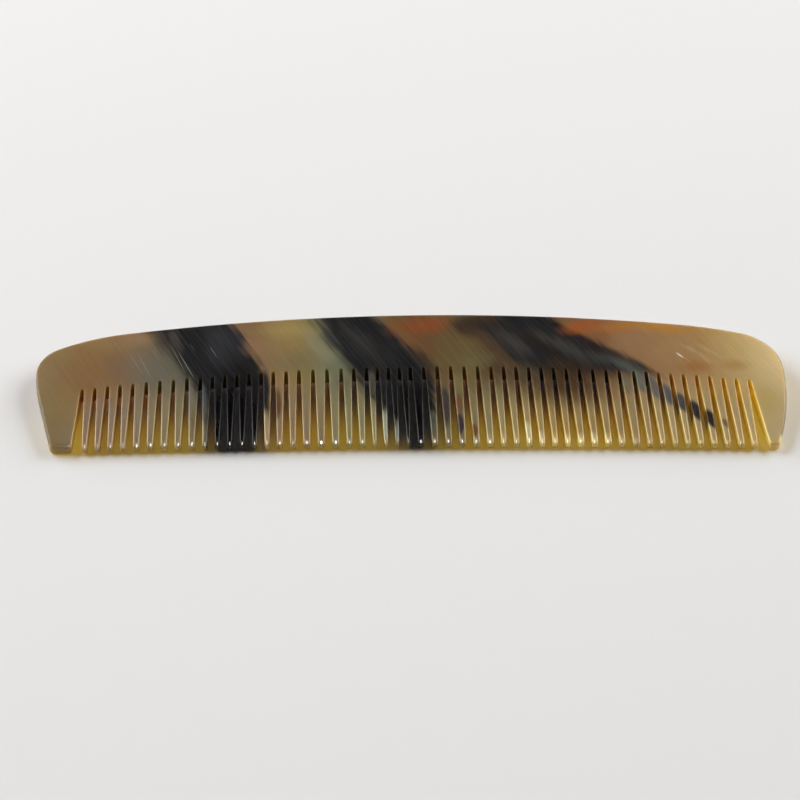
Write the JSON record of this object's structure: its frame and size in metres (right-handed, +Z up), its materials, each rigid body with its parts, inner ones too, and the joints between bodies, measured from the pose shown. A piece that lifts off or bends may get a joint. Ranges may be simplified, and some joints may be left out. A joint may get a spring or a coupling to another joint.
{
  "type": "pocket comb",
  "caption": "One-piece horn pocket comb with an arched back, rounded ends, a guard at each end and one row of even fine teeth, lying flat.",
  "frame": {"origin": "under the middle of the comb's bounding box, on the surface that the comb lies on", "axes": "+X along the row of teeth to the right end, +Y from the tooth tips to the arched back, +Z up through the thickness"},
  "size_m": [0.127, 0.0328, 0.0032],
  "materials": {
    "horn": "polished"
  },
  "bodies": {
    "root": {"comb": "horn"}
  },
  "joints": []
}
